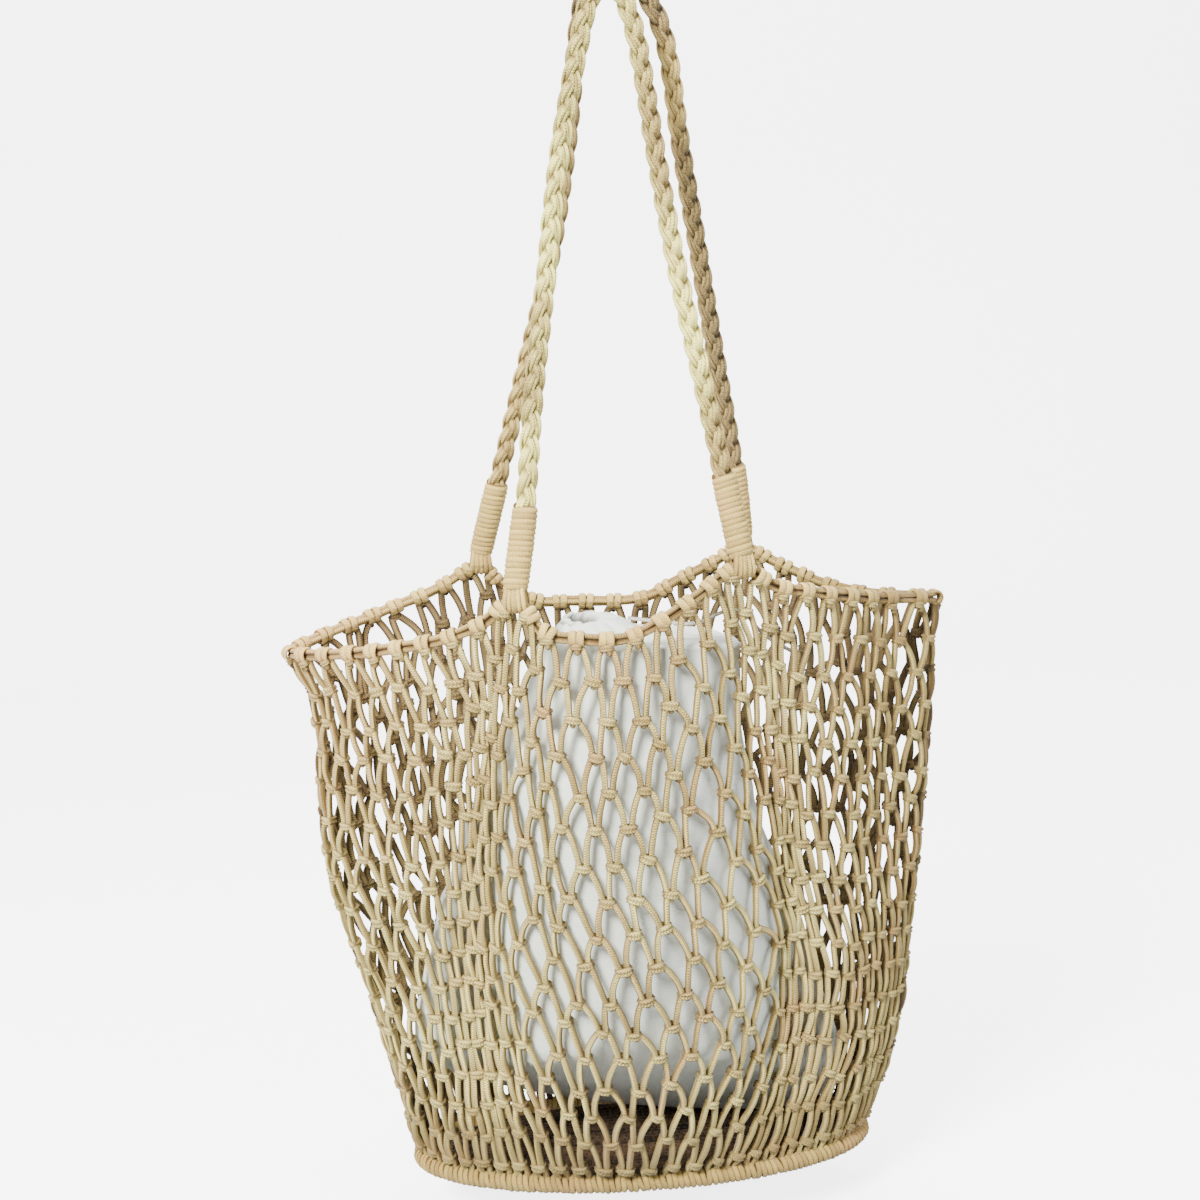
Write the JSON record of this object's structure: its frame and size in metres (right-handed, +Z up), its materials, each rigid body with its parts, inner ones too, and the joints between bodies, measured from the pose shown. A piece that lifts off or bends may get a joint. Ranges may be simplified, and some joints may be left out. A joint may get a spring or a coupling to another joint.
{
  "type": "string shopping bag",
  "caption": "Knotted cotton cord net bag on an oval base, hung from two plaited shoulder straps, with a gathered cloth liner inside.",
  "frame": {"origin": "the point under the tops of the straps where the bag hangs, midway between the two straps", "axes": "+Z up, +X to the right of the bag's long side, +Y from its front to its back"},
  "size_m": [0.3762, 0.1712, 0.6981],
  "materials": {
    "net_cord": "matt round-braided cotton cord, natural beige",
    "base_cord": "matt braided cotton cord, coiled flat and shaded",
    "strap_cord": "matt braided cotton cord, plaited and whipped",
    "liner_cloth": "thin plain-weave cotton, off-white, finely creased",
    "drawstring_cord": "thin off-white braided cord"
  },
  "bodies": {
    "root": {"net_wall": "net_cord", "rim_cord": "net_cord", "base_ring": "net_cord", "base_panel": "base_cord", "handle_front": "strap_cord", "handle_back": "strap_cord", "handle_wrap_front_left": "strap_cord", "handle_wrap_front_right": "strap_cord", "handle_wrap_back_right": "strap_cord", "handle_wrap_back_left": "strap_cord", "handle_loop_front_left": "strap_cord", "handle_loop_front_right": "strap_cord", "handle_loop_back_right": "strap_cord", "handle_loop_back_left": "strap_cord", "liner": "liner_cloth", "liner_drawstring": "drawstring_cord"}
  },
  "joints": []
}
